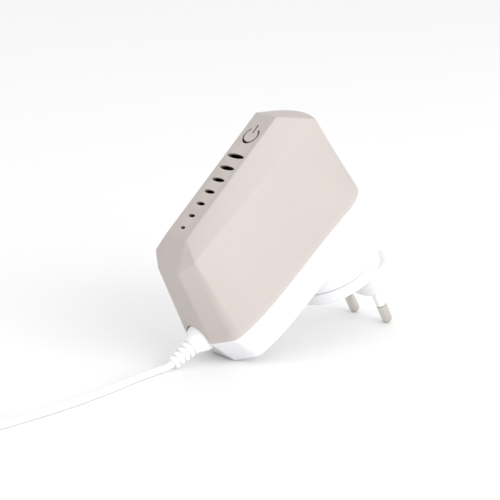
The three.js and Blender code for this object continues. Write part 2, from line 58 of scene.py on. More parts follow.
def add_camera():
    data = bpy.data.cameras.new("camera")
    data.lens = LENS_MM
    data.sensor_width = SENSOR_MM
    data.clip_start = 0.02
    camera = bpy.data.objects.new("camera", data)
    bpy.context.scene.collection.objects.link(camera)
    turn = Matrix.Rotation(CAMERA_AZIMUTH, 4, "Z")
    tilt = Matrix.Rotation(math.pi / 2 - CAMERA_ELEVATION, 4, "X")
    roll = Matrix.Rotation(CAMERA_ROLL, 4, "Z")
    facing = turn @ tilt @ roll
    away = facing.to_3x3() @ Vector((0, 0, CAMERA_DISTANCE))
    camera.matrix_world = Matrix.Translation(CAMERA_TARGET + away) @ facing
    bpy.context.scene.camera = camera


add_camera()

# ------------------------------------------------------------------ frames of the body and the head
# Body frame, in millimetres: x towards the top end, y across, z from the parting plane to the ridge.
# Head frame: origin on the rim plane midway between the pins, z away from the wall.
DISC_OFFSET = 8.4
HEAD_DEPTH = 28.5

joints = {joint["name"]: joint for joint in frame["record"]["behaviour"]["joints"]}
ACROSS = Vector((0, 1, 0))


def local_frame(up, origin):
    """Matrix from a local frame in millimetres to the row frame in metres."""
    along = ACROSS.cross(up)
    turn = Matrix((along, ACROSS, up)).transposed().to_4x4()
    return Matrix.Translation(origin) @ turn @ Matrix.Scale(MM, 4)


head_up = Vector(joints["head_twist"]["axis"]).normalized()
body_up = Vector(joints["button_press"]["axis"]).normalized()
disc_centre = Vector(joints["head_twist"]["pos_m"])
head_origin = disc_centre + ACROSS.cross(head_up) * DISC_OFFSET * MM
HEAD = local_frame(head_up, head_origin)
BODY = local_frame(body_up, head_origin + body_up * HEAD_DEPTH * MM)

# ------------------------------------------------------------------ mesh helpers


def new_object(name, data, body, *replaced):
    """A piece that rides on a body and stands in for one or more CAD nodes."""
    piece = bpy.data.objects.new(name, data)
    bpy.context.scene.collection.objects.link(piece)
    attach(piece, body)
    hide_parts(*replaced)
    return piece


def shade(mesh, angle=SMOOTH_ANGLE):
    """Smooth faces, with edges sharper than the angle kept crisp."""
    mesh.shade_smooth()
    mesh.set_sharp_from_angle(angle=angle)


def mesh_from(bm, name, matrix=None):
    """Mesh of a bmesh, with doubled points merged and the normals made consistent."""
    bmesh.ops.remove_doubles(bm, verts=bm.verts, dist=1e-4)
    bmesh.ops.recalc_face_normals(bm, faces=bm.faces)
    mesh = bpy.data.meshes.new(name)
    bm.to_mesh(mesh)
    bm.free()
    if matrix is not None:
        mesh.transform(matrix)
    shade(mesh)
    return mesh


def skin_rings(bm, rings, close_ends=True):
    """Quads between rings of the same number of points, with flat caps."""
    rows = [[bm.verts.new(point) for point in ring] for ring in rings]
    count = len(rows[0])
    for low, high in zip(rows, rows[1:]):
        for i in range(count):
            j = (i + 1) % count
            bm.faces.new((low[i], low[j], high[j], high[i]))
    if close_ends:
        bm.faces.new(reversed(rows[0]))
        bm.faces.new(rows[-1])
    return rows


def turned_rings(profile, sides):
    """Rings of points about z, one for each (radius, z) pair."""
    turns = [2 * math.pi * i / sides for i in range(sides)]
    return [[(r * math.cos(a), r * math.sin(a), z) for a in turns] for r, z in profile]


def lathe(name, profile, sides=64):
    """A turned solid about z with flat ends, from (radius, z) pairs."""
    bm = bmesh.new()
    skin_rings(bm, turned_rings(profile, sides))
    return mesh_from(bm, name)


def tube_lathe(name, profile, sides=64):
    """A turned ring about z: the profile closes on itself."""
    bm = bmesh.new()
    rings = turned_rings(profile, sides)
    skin_rings(bm, rings + rings[:1], close_ends=False)
    return mesh_from(bm, name)


def rounded(points, radius, steps=4):
    """A chain of 2-D or 3-D points with each inner corner rounded."""
    chain = [Vector(points[0])]
    for before, corner, after in zip(points, points[1:], points[2:]):
        before, corner, after = Vector(before), Vector(corner), Vector(after)
        to_before, to_after = before - corner, after - corner
        reach = min(radius, to_before.length * 0.45, to_after.length * 0.45)
        start = corner + to_before.normalized() * reach
        end = corner + to_after.normalized() * reach
        for i in range(steps + 1):
            t = i / steps
            chain.append(start.lerp(corner, t).lerp(corner.lerp(end, t), t))
    chain.append(Vector(points[-1]))
    return chain


def boolean(piece, cutter_mesh, operation):
    """Cuts or joins a mesh for good, so that no modifier or cutter is left."""
    cutter = bpy.data.objects.new("cutter", cutter_mesh)
    bpy.context.scene.collection.objects.link(cutter)
    modifier = piece.modifiers.new("cut", "BOOLEAN")
    modifier.operation = operation
    modifier.solver = "EXACT"
    modifier.object = cutter
    depsgraph = bpy.context.evaluated_depsgraph_get()
    result = bpy.data.meshes.new_from_object(piece.evaluated_get(depsgraph))
    piece.modifiers.remove(modifier)
    piece.data = result
    bpy.data.objects.remove(cutter)


def joined(name, *meshes):
    """One mesh that is the union of closed meshes."""
    piece = bpy.data.objects.new(name, meshes[0])
    bpy.context.scene.collection.objects.link(piece)
    for mesh in meshes[1:]:
        boolean(piece, mesh, "UNION")
    result = piece.data
    bpy.data.objects.remove(piece)
    shade(result)
    return result


# ------------------------------------------------------------------ lead: route and coil
LEAD_DIAMETER = 2.6
LEAD_HEIGHT = 1.35
LEAD_ROUTE = [
    (-49.5, 0, 2.0), (-51, 0, 1.55), (-54.6, -0.1, LEAD_HEIGHT), (-59.5, -0.8, LEAD_HEIGHT),
    (-66, -1.9, LEAD_HEIGHT), (-73, -3.6, LEAD_HEIGHT), (-80, -5.2, LEAD_HEIGHT),
    (-87, -6.6, LEAD_HEIGHT), (-96, -7.9, LEAD_HEIGHT), (-106, -8.9, LEAD_HEIGHT),
    (-116, -9.5, LEAD_HEIGHT), (-124, -9.8, LEAD_HEIGHT), (-130.6, -9.9, LEAD_HEIGHT),
]
COIL_CENTRE = (-142, 9.6)
COIL_OUTER = 19.5
COIL_LAYERS = 4
TURNS_PER_LAYER = 3.5
LAST_QUARTER = 0.25
POINTS_PER_TURN = 16
CLIMB_TURNS = 0.3
TAIL_ROUTE = [
    (-162, 16, 9.1), (-161.5, 21.1, 8.4), (-161, 25.4, 7.1), (-159, 30.2, 5.9), (-155, 34.3, 5.3),
    (-151.2, 36, 5.08), (-148.5, 36.2, 5.05),
]
TAIL_INSIDE_PLUG = (-143.5, 36.2, 5.05)
LEAD_INSIDE_RELIEF = (-45.5, 0, 4.2)


def coil_points():
    """Flat layers wound inwards and outwards in turn, clockwise, each a diameter above the last."""
    points = []
    total = COIL_LAYERS * TURNS_PER_LAYER + LAST_QUARTER
    steps = round(total * POINTS_PER_TURN)
    for i in range(1, steps + 1):
        turn = total * i / steps
        layer = min(int(turn / TURNS_PER_LAYER), COIL_LAYERS - 1)
        inside = turn - layer * TURNS_PER_LAYER
        if layer % 2:
            inside = TURNS_PER_LAYER - inside
        radius = COIL_OUTER - LEAD_DIAMETER * inside
        rise = min(1, max(0, (turn - layer * TURNS_PER_LAYER + CLIMB_TURNS / 2) / CLIMB_TURNS))
        fall = min(1, max(0, ((layer + 1) * TURNS_PER_LAYER - turn) / CLIMB_TURNS + 0.5))
        level = layer + (0 if layer == 0 else rise - 1)
        if layer < COIL_LAYERS - 1:
            level += 1 - fall
        angle = -math.pi / 2 - 2 * math.pi * turn
        x = COIL_CENTRE[0] + radius * math.cos(angle)
        y = COIL_CENTRE[1] + radius * math.sin(angle)
        points.append((x, y, LEAD_HEIGHT + LEAD_DIAMETER * level))
    return points


def lead():
    """The lead as one swept curve, from inside the strain relief to inside the DC plug."""
    data = bpy.data.curves.new("lead", "CURVE")
    data.dimensions = "3D"
    # The points carry the radius in metres, because the curve's bound_box is padded by their radius.
    data.bevel_depth = 1
    data.bevel_resolution = 5
    data.use_fill_caps = True
    before_coil = LEAD_ROUTE + [(COIL_CENTRE[0] + 5, COIL_CENTRE[1] - COIL_OUTER, LEAD_HEIGHT)]
    route = [LEAD_INSIDE_RELIEF] + before_coil + coil_points() + TAIL_ROUTE + [TAIL_INSIDE_PLUG]
    spline = data.splines.new("NURBS")
    spline.points.add(len(route) - 1)
    for point, place in zip(spline.points, route):
        point.co = (*(Vector(place) * MM), 1)
        point.radius = LEAD_DIAMETER / 2 * MM
    spline.order_u = 4
    spline.use_endpoint_u = True
    spline.resolution_u = 5
    piece = new_object("lead_visual", data, "adapter", "lead", "lead_coil", "lead_tail")
    return piece


# ------------------------------------------------------------------ outline at the parting plane
CABLE_END = -68.2
TOP_END = 15.4
HALF_WIDTH = 18.3
STRIP_HALF = 6.8
MID_X = (CABLE_END + TOP_END) / 2
HALF_LENGTH = (TOP_END - CABLE_END) / 2


def bezier(points, steps):
    """Points on a Bezier curve of any degree, without its first point."""
    found = []
    for i in range(1, steps + 1):
        chain = [Vector(point) for point in points]
        while len(chain) > 1:
            chain = [a.lerp(b, i / steps) for a, b in zip(chain, chain[1:])]
        found.append(chain[0])
    return found


def half_outline():
    """Flat strip, slanted corner, bowed side and round top end, for y above zero."""
    path = [Vector((CABLE_END, 0))]
    path += bezier([(CABLE_END, 0), (CABLE_END, STRIP_HALF)], 8)
    path += bezier([(CABLE_END, STRIP_HALF), (-63.9, 14.5)], 10)
    path += bezier([(-63.9, 14.5), (-62.6, 16.8), (-58.5, 17.2)], 16)
    path += bezier([(-58.5, 17.2), (-46, 20.3), (-18, 15.9), (3.6, 16.1)], 60)
    path += bezier([(3.6, 16.1), (9.6, 15.6), (13, 12.6), (14.3, 8.4)], 24)
    path += bezier([(14.3, 8.4), (TOP_END, 4), (TOP_END, 0)], 16)
    return path


OUTLINE = half_outline()
OUTLINE_REACH = [0.0]
for start, end in zip(OUTLINE, OUTLINE[1:]):
    OUTLINE_REACH.append(OUTLINE_REACH[-1] + (end - start).length)


def on_outline(distance):
    """The point of the half outline at a distance from the middle of the cable end."""
    distance = min(max(distance, 0), OUTLINE_REACH[-1])
    i = min(max(bisect.bisect_left(OUTLINE_REACH, distance), 1), len(OUTLINE) - 1)
    step = OUTLINE_REACH[i] - OUTLINE_REACH[i - 1]
    return OUTLINE[i - 1].lerp(OUTLINE[i], (distance - OUTLINE_REACH[i - 1]) / step)


# ------------------------------------------------------------------ front shell
# Each point of the outline runs up to the shoulder line and on to the ridge, so that the hard facets
# at the top melt into the round outline at the bottom.
SEAM_GAP = 0.15
WALL = 1.8
HOLLOW_OVERRUN = 2
EDGE_RADIUS = 0.4

RIDGE_TOP = Vector((2.1, 5.6, 44.3))
RIDGE_CABLE = Vector((-53.3, 5.6, 37.4))
RIDGE_SLOPE = (RIDGE_TOP.z - RIDGE_CABLE.z) / (RIDGE_TOP.x - RIDGE_CABLE.x)
RIDGE_CUT = 0.35
SHOULDER_TOP = Vector((12.2, 11.0, 35.1))
SHOULDER_CABLE = Vector((-57.5, 11.1, 32.2))
STRIP_CORNER = Vector((-63.0, 5.5, 30.1))
TOP_BOW = 2.5
TOP_DIP = 0.7
SIDE_BOW = 1.0
SIDE_START = 19.4
SIDE_END = 91.6
# Distances along the outline where its segments meet: strip, slanted corner, side and top end.
CORNERS = (0, STRIP_HALF, SIDE_START, SIDE_END, OUTLINE_REACH[-1])


def ridge_height(x):
    return RIDGE_CABLE.z + RIDGE_SLOPE * (x - RIDGE_CABLE.x)


def shoulder_and_ridge(segment, t):
    """The shoulder point and the ridge point at part t of one of the four segments."""
    below = Vector((RIDGE_CABLE.x, RIDGE_CABLE.y - RIDGE_CUT, RIDGE_CABLE.z))
    beside = Vector((RIDGE_CABLE.x + RIDGE_CUT, RIDGE_CABLE.y, ridge_height(RIDGE_CABLE.x + RIDGE_CUT)))
    if segment == 0:
        middle = Vector((STRIP_CORNER.x, 0, STRIP_CORNER.z))
        return middle.lerp(STRIP_CORNER, t), Vector((below.x, below.y * t, below.z))
    if segment == 1:
        return STRIP_CORNER.lerp(SHOULDER_CABLE, t), below.lerp(beside, t)
    if segment == 2:
        return SHOULDER_CABLE.lerp(SHOULDER_TOP, t), beside.lerp(RIDGE_TOP, t)
    bow = 1 - (1 - t) ** 2
    shoulder = SHOULDER_TOP + Vector((TOP_BOW * bow, 0, -TOP_DIP * bow))
    shoulder.y = SHOULDER_TOP.y * (1 - t)
    return shoulder, Vector((RIDGE_TOP.x, RIDGE_TOP.y * (1 - t), RIDGE_TOP.z))


def column(segment, t):
    """Base, control point of the bulge, shoulder and ridge at part t of a segment."""
    low, high = CORNERS[segment], CORNERS[segment + 1]
    base = on_outline(low + (high - low) * t).to_3d()
    shoulder, ridge = shoulder_and_ridge(segment, t)
    bulge = base.lerp(shoulder, 0.5)
    if segment == 2:
        bulge.y += SIDE_BOW * math.sin(math.pi * t)
    return base, bulge, shoulder, ridge


# For each segment: the number of columns, and the parts of it taken by the rounding of its corners.
SEGMENTS = ((5, 0, 0.1), (8, 0.07, 0.06), (36, 0.006, 0.006), (12, 0.05, 0))


def half_columns():
    """Columns from the middle of the cable end to the middle of the top end, for y above zero."""
    columns = []
    for segment, (count, first, last) in enumerate(SEGMENTS):
        for i in range(count + 1):
            columns.append(column(segment, first + (1 - first - last) * i / count))
        if segment < 3:
            before = columns[-1]
            corner = column(segment, 1)
            after = column(segment + 1, SEGMENTS[segment + 1][1])
            for t in (0.25, 0.5, 0.75):
                columns.append(tuple(
                    b.lerp(c, t).lerp(c.lerp(a, t), t) for b, c, a in zip(before, corner, after)))
    return columns


def all_columns():
    half = half_columns()
    other = [tuple(Vector((p.x, -p.y, p.z)) for p in column) for column in reversed(half[1:-1])]
    return half + other


def side_chain(base, bulge, shoulder, ridge):
    """One column from the seam to the ridge, with a crisp shoulder and a crisp ridge edge."""
    chain = [base.copy()] + bezier([base, bulge, shoulder], 10)[:-1]
    middle = Vector((min(max(ridge.x, RIDGE_CABLE.x + 3), RIDGE_TOP.x - 3), 0, 0))
    inward = middle - ridge
    inward.z = 0
    foot = ridge + inward.normalized() * min(1.0, inward.length)
    foot.z = ridge_height(foot.x)
    upper = rounded([chain[-1], shoulder, ridge, foot], EDGE_RADIUS)
    chain[0].z += SEAM_GAP
    return chain[:-1] + upper


# Vents and symbol. Below a thin lip each cut is wider, so that no pale wall shows inside it.
LIP = 0.6
UNDERCUT = 1.1
SLOT_REACH = 5
SLOT_SIDES = 40
VENT_COUNT = 7
VENT_FIRST_X = -17.0
VENT_PITCH = 5.33
VENT_LENGTHS = (9.0, 2.5)
VENT_WIDTHS = (2.0, 1.3)
EMBLEM_X = -7.5
EMBLEM_RADIUS = 3.7
EMBLEM_STROKE = 0.95
EMBLEM_OPENING = 0.62
EMBLEM_UNDERCUT = 0.45
EMBLEM_REACH = 4
EMBLEM_STEPS = 48


def slot_mesh(length, width, x):
    """An oval slot cutter across the ridge, wider inside the shell so that its lip is thin."""
    bm = bmesh.new()
    z = ridge_height(x)
    rings = []
    for height, grow in ((-SLOT_REACH, UNDERCUT), (-LIP, UNDERCUT), (-LIP, 0), (SLOT_REACH, 0)):
        ring = []
        for i in range(SLOT_SIDES):
            angle = 2 * math.pi * i / SLOT_SIDES
            across = (length / 2 + grow / 2) * math.sin(angle)
            along = (width / 2 + grow) * math.cos(angle)
            ring.append((x + along - height * RIDGE_SLOPE, across, z + along * RIDGE_SLOPE + height))
        rings.append(ring)
    skin_rings(bm, rings)
    return mesh_from(bm, "slot", BODY)


def symbol_meshes():
    """Cutters for a generic power symbol: a ring broken at the top by a short bar."""
    turn = Matrix.Rotation(-math.atan(RIDGE_SLOPE), 4, "Y")
    place = BODY @ Matrix.Translation((EMBLEM_X, 0, ridge_height(EMBLEM_X))) @ turn
    inner, outer = EMBLEM_RADIUS - EMBLEM_STROKE, EMBLEM_RADIUS
    bm = bmesh.new()
    rings = []
    for i in range(EMBLEM_STEPS + 1):
        angle = EMBLEM_OPENING + 2 * (math.pi - EMBLEM_OPENING) * i / EMBLEM_STEPS
        out = Vector((math.cos(angle), math.sin(angle), 0))
        deep, lip, high = (Vector((0, 0, z)) for z in (-EMBLEM_REACH, -LIP, EMBLEM_REACH))
        near, far = inner - EMBLEM_UNDERCUT, outer + EMBLEM_UNDERCUT
        rings.append([
            out * near + deep, out * near + lip, out * inner + lip, out * inner + high,
            out * outer + high, out * outer + lip, out * far + lip, out * far + deep,
        ])
    skin_rings(bm, rings)
    broken = mesh_from(bm, "symbol_ring", place)
    bm = bmesh.new()
    corners = bmesh.ops.create_cube(bm, size=1)["verts"]
    bmesh.ops.scale(bm, vec=(EMBLEM_RADIUS - 0.2, EMBLEM_STROKE, 2 * EMBLEM_REACH), verts=corners)
    bmesh.ops.translate(bm, vec=(EMBLEM_RADIUS * 0.8, 0, 0), verts=corners)
    return [broken, mesh_from(bm, "symbol_bar", place)]


def front_shell():
    """Hollow faceted shell, with its vents, its symbol and the notch for the strain relief."""
    bm = bmesh.new()
    chains = [side_chain(*column) for column in all_columns()]
    rings = list(zip(*chains))
    skin_rings(bm, rings)
    mesh = mesh_from(bm, "front_shell", BODY)
    piece = new_object("front_shell_visual", mesh, "adapter", "front_shell")
    bm = bmesh.new()
    inner = [[centre_in(point) for point in ring] for ring in rings]
    inner[0] = [point - Vector((0, 0, HOLLOW_OVERRUN)) for point in inner[0]]
    skin_rings(bm, inner)
    boolean(piece, mesh_from(bm, "hollow", BODY), "DIFFERENCE")
    for i in range(VENT_COUNT):
        t = i / (VENT_COUNT - 1)
        length = VENT_LENGTHS[0] + (VENT_LENGTHS[1] - VENT_LENGTHS[0]) * t
        width = VENT_WIDTHS[0] + (VENT_WIDTHS[1] - VENT_WIDTHS[0]) * t
        boolean(piece, slot_mesh(length, width, VENT_FIRST_X - VENT_PITCH * i), "DIFFERENCE")
    for cutter in symbol_meshes():
        boolean(piece, cutter, "DIFFERENCE")
    boolean(piece, relief_cutter(), "DIFFERENCE")
    shade(piece.data)
    return piece


def centre_in(point):
    """A point of the outer skin moved in by about the wall."""
    x = MID_X + (point.x - MID_X) * (1 - WALL / HALF_LENGTH)
    return Vector((x, point.y * (1 - WALL / HALF_WIDTH), point.z * (1 - WALL / RIDGE_TOP.z)))


# ------------------------------------------------------------------ strain relief
RELIEF_X = -67.2
RELIEF_RADIUS = 5.7
RELIEF_TILT = math.radians(7)
RELIEF_CLEARANCE = 0.25


def relief_matrix():
    turn = Matrix.Rotation(math.pi / 2 + RELIEF_TILT, 4, "Y")
    return BODY @ Matrix.Translation((RELIEF_X, 0, 0)) @ turn


def relief_cutter():
    radius = RELIEF_RADIUS + RELIEF_CLEARANCE
    mesh = lathe("relief_cutter", [(radius, -6), (radius, 6)])
    mesh.transform(relief_matrix())
    return mesh


def relief_profile():
    """(radius, z) pairs from the bell inside the shell to the slim end, with four grooves."""
    neck, tail = 3.35, 2.45
    profile = [(3.4, 4.8), (RELIEF_RADIUS - 0.6, 3.4), (RELIEF_RADIUS, 2.6)]
    for i in range(9):
        t = i / 8
        flare = neck + (RELIEF_RADIUS - neck) * math.cos(t * math.pi / 2) ** 1.25
        profile.append((flare, 1.2 - 6.2 * t))
    grooves = 4
    for i in range(grooves):
        top = -5.5 - i * 2.2
        radius = neck + (tail - neck) * (i + 0.5) / grooves
        profile += [(radius, top + 0.1), (radius - 0.12, top - 0.05), (radius - 0.75, top - 0.15)]
        profile += [(radius - 0.75, top - 0.7), (radius - 0.15, top - 0.8), (radius, top - 0.95)]
    profile += [(tail, -14.0), (tail - 0.15, -14.3), (tail - 0.6, -14.4)]
    return profile


def strain_relief():
    mesh = lathe("strain_relief", relief_profile())
    mesh.transform(relief_matrix())
    shade(mesh)
    piece = new_object("strain_relief_visual", mesh, "adapter", "strain_relief")
    return piece


# ------------------------------------------------------------------ rear shell
BACK_Z = -14.5
DISC_RADIUS = 19.1
SEAM_Z = 5.3
BACK_EDGE_RADIUS = 2
# Insets along x, along y and at the cable end: down the sides, then round the back edge.
SIDE_DRAFT = (1.2, 1.3, 2.5)
BACK_EDGE_INSET = (1.2, 1.7, 0.7)
TURRET_TOP = 23.5
NECK_X = -4.6
NECK_HALF_LENGTH = 17.0
NECK_HALF_WIDTH = 16.4


def plan_ring(z, inset_x, inset_y, cable_extra, count=110):
    """The outline at height z, pulled in along x and y and further in at the cable end."""
    half = [on_outline(OUTLINE_REACH[-1] * i / count) for i in range(count + 1)]
    both = half + [Vector((point.x, -point.y)) for point in reversed(half[1:-1])]
    ring = []
    for point in both:
        towards_cable = (TOP_END - point.x) / (TOP_END - CABLE_END)
        x = MID_X + (point.x - MID_X) * (1 - inset_x / HALF_LENGTH) + cable_extra * towards_cable
        ring.append(Vector((x, point.y * (1 - inset_y / HALF_WIDTH), z)))
    return ring


def rear_body():
    """Closed body below the seam, with drafted sides and a rounded back edge. It isn't hollow."""
    bm = bmesh.new()
    rings = [plan_ring(-SEAM_GAP, 0.35, 0.35, 0), plan_ring(-SEAM_GAP - 0.25, 0.05, 0.05, 0)]
    depth = -BACK_Z - BACK_EDGE_RADIUS
    for i in range(1, 7):
        t = i / 6
        rings.append(plan_ring(-SEAM_GAP - (depth - SEAM_GAP) * t, *(draft * t for draft in SIDE_DRAFT)))
    for i in range(1, 7):
        angle = i / 6 * math.pi / 2
        curve = 1 - math.cos(angle)
        z = -depth - BACK_EDGE_RADIUS * math.sin(angle)
        insets = [draft + inset * curve for draft, inset in zip(SIDE_DRAFT, BACK_EDGE_INSET)]
        rings.append(plan_ring(z, *insets))
    skin_rings(bm, rings)
    return mesh_from(bm, "rear_body", BODY)


def turret():
    """Column on the head's axis that grows out of the body's outline just under the seam."""
    bm = bmesh.new()
    count = 120
    rings = []
    to_body = BODY.inverted() @ HEAD
    for t in (0, 0.18, 0.36, 0.55, 0.75, 1):
        ring = []
        ease = math.sin(t * math.pi / 2)
        for i in range(count):
            angle = 2 * math.pi * i / count
            cosine, sine = math.cos(angle), math.sin(angle)
            on_disc = Vector((DISC_RADIUS * cosine - DISC_OFFSET, DISC_RADIUS * sine, TURRET_TOP))
            circle = to_body @ on_disc
            neck = Vector((NECK_X + NECK_HALF_LENGTH * cosine, NECK_HALF_WIDTH * sine, -SEAM_GAP - 0.3))
            point = neck.lerp(circle, ease)
            point.z = neck.z + (circle.z - neck.z) * t
            ring.append(point)
        rings.append(ring)
    for z in (18, 12, SEAM_Z + 0.35, SEAM_Z):
        radius = DISC_RADIUS - (0.35 if z == SEAM_Z else 0)
        rings.append([
            to_body @ Vector((radius * math.cos(2 * math.pi * i / count) - DISC_OFFSET,
                              radius * math.sin(2 * math.pi * i / count), z)) for i in range(count)])
    skin_rings(bm, rings)
    return mesh_from(bm, "turret", BODY)


def rear_shell():
    """Body and turret in one, with the notch for the strain relief and the well for the button."""
    mesh = joined("rear_shell", rear_body(), turret())
    piece = new_object("rear_shell_visual", mesh, "adapter", "rear_shell")
    boolean(piece, relief_cutter(), "DIFFERENCE")
    boolean(piece, button_mesh(BUTTON_CLEARANCE, BUTTON_WELL), "DIFFERENCE")
    shade(piece.data)
    return piece


BUTTON_X = -34.5
BUTTON_SIZE = (5.2, 8.4)
BUTTON_CLEARANCE = 0.25
BUTTON_WELL = 8


def button_mesh(grow, depth):
    """Oval button, or the plain cutter for its well where it is grown by a clearance."""
    bm = bmesh.new()
    radius = BUTTON_SIZE[0] / 2 + grow
    straight = (BUTTON_SIZE[1] - BUTTON_SIZE[0]) / 2
    face = BACK_Z - (0.9 if grow <= 0 else 3)
    levels = [(0.6, face), (0.25, face + 0.08), (0.07, face + 0.3), (0, face + 0.6), (0, face + depth)]
    if grow > 0:
        levels = [(0, face), (0, face + depth)]
    rings = []
    for inset, z in levels:
        ring = []
        for i in range(48):
            angle = 2 * math.pi * (i + 0.5) / 48
            y = math.copysign(straight, math.sin(angle)) + (radius - inset) * math.sin(angle)
            ring.append(Vector((BUTTON_X + (radius - inset) * math.cos(angle), y, z)))
        rings.append(ring)
    skin_rings(bm, rings)
    return mesh_from(bm, "button", BODY)


def release_button():
    piece = new_object("release_button_visual", button_mesh(0, 3.1), "button", "release_button")
    return piece


# ------------------------------------------------------------------ plug head
FACE_Z = -10.3
PLUG_LENGTH = 35.3
PLUG_THICKNESS = 13.7
PIN_SPACING = 18.6
PIN_TOE = 0.35
PIN_RADIUS = 2.0
PIN_LENGTH = 19.0
SLEEVE_LENGTH = 10.0
PIN_CORE_RADIUS = 1.4
SLEEVE_BORE = 1.5


def stadium_ring(length, thickness, z, count=96):
    radius = thickness / 2
    straight = length / 2 - radius
    ring = []
    for i in range(count):
        angle = 2 * math.pi * (i + 0.5) / count
        y = math.copysign(straight, math.sin(angle)) + radius * math.sin(angle)
        ring.append(Vector((radius * math.cos(angle), y, z)))
    return ring


def plug_body():
    bm = bmesh.new()
    rings = []
    for i in range(6):
        angle = i / 5 * math.pi / 2
        inset = 1.2 * (1 - math.sin(angle))
        z = FACE_Z + 1.0 * (1 - math.cos(angle))
        rings.append(stadium_ring(PLUG_LENGTH - 2 * inset, PLUG_THICKNESS - 2 * inset, z))
    for i in range(1, 7):
        t = i / 6
        z = FACE_Z + 1 + (0.6 - FACE_Z - 1) * t
        rings.append(stadium_ring(PLUG_LENGTH * (1 + 0.03 * t), PLUG_THICKNESS * (1 + 0.16 * t), z))
    skin_rings(bm, rings)
    return mesh_from(bm, "plug_body", HEAD)


def disc():
    top = SEAM_Z - 0.3
    profile = rounded([(4, top, 0), (DISC_RADIUS, top, 0), (DISC_RADIUS, 0, 0), (4, 0, 0)], 0.9)
    mesh = lathe("disc", [(point.x, point.y) for point in profile], 128)
    mesh.transform(HEAD @ Matrix.Translation((-DISC_OFFSET, 0, 0)))
    return mesh


def plug_head():
    mesh = joined("plug_head", disc(), plug_body())
    piece = new_object("plug_head_visual", mesh, "plug", "plug_head")
    return piece


def pin_matrix(side):
    tilt = Matrix.Rotation(-side * PIN_TOE / PIN_LENGTH, 4, "X")
    place = Matrix.Translation((0, side * PIN_SPACING / 2, FACE_Z))
    return HEAD @ place @ tilt @ Matrix.Translation((0, 0, -FACE_Z))


def pins():
    """The two pins and their sleeves. Each pin runs on through the plug head to the seam."""
    made = []
    for name, side in (("near", -1), ("far", 1)):
        tip = FACE_Z - PIN_LENGTH
        shoulder = FACE_Z - SLEEVE_LENGTH
        core = [(PIN_RADIUS * math.sin(a), tip + PIN_RADIUS * (1 - math.cos(a)))
                for a in (i / 8 * math.pi / 2 for i in range(1, 9))]
        core += [(PIN_RADIUS, shoulder - 0.35), (PIN_RADIUS - 0.2, shoulder - 0.2)]
        core += [(PIN_CORE_RADIUS, shoulder - 0.2), (PIN_CORE_RADIUS, SEAM_Z)]
        mesh = lathe("pin", core, 48)
        mesh.transform(pin_matrix(side))
        pin = new_object(f"pin_{name}_visual", mesh, "plug", f"pin_{name}")
        outer = PIN_RADIUS - 0.06
        top = FACE_Z + 0.6
        profile = [(SLEEVE_BORE, shoulder), (outer - 0.15, shoulder), (outer, shoulder + 0.2)]
        profile += [(outer, top), (SLEEVE_BORE, top)]
        mesh = tube_lathe("sleeve", profile, 48)
        mesh.transform(pin_matrix(side))
        sleeve = new_object(f"pin_sleeve_{name}_visual", mesh, "plug", f"pin_sleeve_{name}")
        made.append((pin, sleeve))
    return made


# ------------------------------------------------------------------ DC plug and tie
PLUG_PLACE = Vector((-148.2, 36.2, 5.05))
TIE_ANGLE = 3.9


def plug_matrix():
    turn = Matrix.Rotation(math.pi / 2, 4, "Y")
    return Matrix.Scale(MM, 4) @ Matrix.Translation(PLUG_PLACE) @ turn


def dc_plug():
    """Grip with three ribs towards the lead, and the barrel."""
    profile = [(1.4, 0), (2.2, 0), (2.45, 0.3), (2.5, 3)]
    for i in range(3):
        grow = i * 0.35
        start = 3.2 + i * 2.2
        profile += [(2.5 + grow, start), (2.35 + grow, start + 0.12), (1.9 + grow, start + 0.25)]
        profile += [(2.0 + grow, start + 1.3), (2.6 + grow, start + 1.42), (2.8 + grow, start + 1.6)]
    profile += [(4.3, 10.3), (4.85, 11.4), (5, 12.4), (5, 25.8), (4.8, 26.3), (4.3, 26.6), (1.2, 26.6)]
    grip = lathe("dc_plug_grip", profile)
    grip.transform(plug_matrix())
    shade(grip)
    piece = new_object("dc_plug_grip_visual", grip, "adapter", "dc_plug_grip")
    profile = [(2.35, 26.4), (2.75, 26.4), (2.75, 35.8), (2.62, 36.05), (2.35, 36.1)]
    barrel = tube_lathe("dc_plug_barrel", profile)
    barrel.transform(plug_matrix())
    shell = new_object("dc_plug_barrel_visual", barrel, "adapter", "dc_plug_barrel")
    return [piece, shell]


def cable_tie():
    """Flat closed band round one side of the coil."""
    bm = bmesh.new()
    low, high = 7.6, 22.3
    top = 11.4
    foot = 0.25
    outline = rounded([
        (low + 2, foot, 0), (low, foot, 0), (low, top, 0),
        (high, top, 0), (high, foot, 0), (low + 2, foot, 0),
    ], 2.6, 6)
    rings = []
    for y, grow in ((-1.7, -0.25), (-1.5, 0), (1.5, 0), (1.7, -0.25), (1.7, -0.9), (-1.7, -0.9)):
        middle = Vector(((low + high) / 2, top / 2, 0))
        ring = []
        for point in outline[:-1]:
            out = (point - middle).normalized() * grow
            ring.append(Vector((point.x + out.x, y, max(0.05, point.y + out.y))))
        rings.append(ring)
    skin_rings(bm, rings + rings[:1], close_ends=False)
    mesh = mesh_from(bm, "cable_tie")
    mesh.transform(
        Matrix.Scale(MM, 4) @ Matrix.Translation((*COIL_CENTRE, 0)) @ Matrix.Rotation(TIE_ANGLE, 4, "Z"))
    piece = new_object("cable_tie_visual", mesh, "adapter", "cable_tie")
    return piece


# ------------------------------------------------------------------ materials
def new_material(name):
    material = bpy.data.materials.new(name)
    material.use_nodes = True
    nodes = material.node_tree.nodes
    return material, nodes, material.node_tree.links, nodes["Principled BSDF"]


# Convex edges are mixed towards a lighter colour. This is partly rubbed wear and partly a painted highlight
# along crisp edges such as the shoulder line.
EDGE_WEAR_AND_HIGHLIGHT = 0.55
EDGE_POINTINESS = (0.53, 0.6)
RUBBED_AND_HIGHLIGHT_GAIN = 1.18
MOTTLE_SCALE = 60
GRAIN_DEPTH = 0.00006


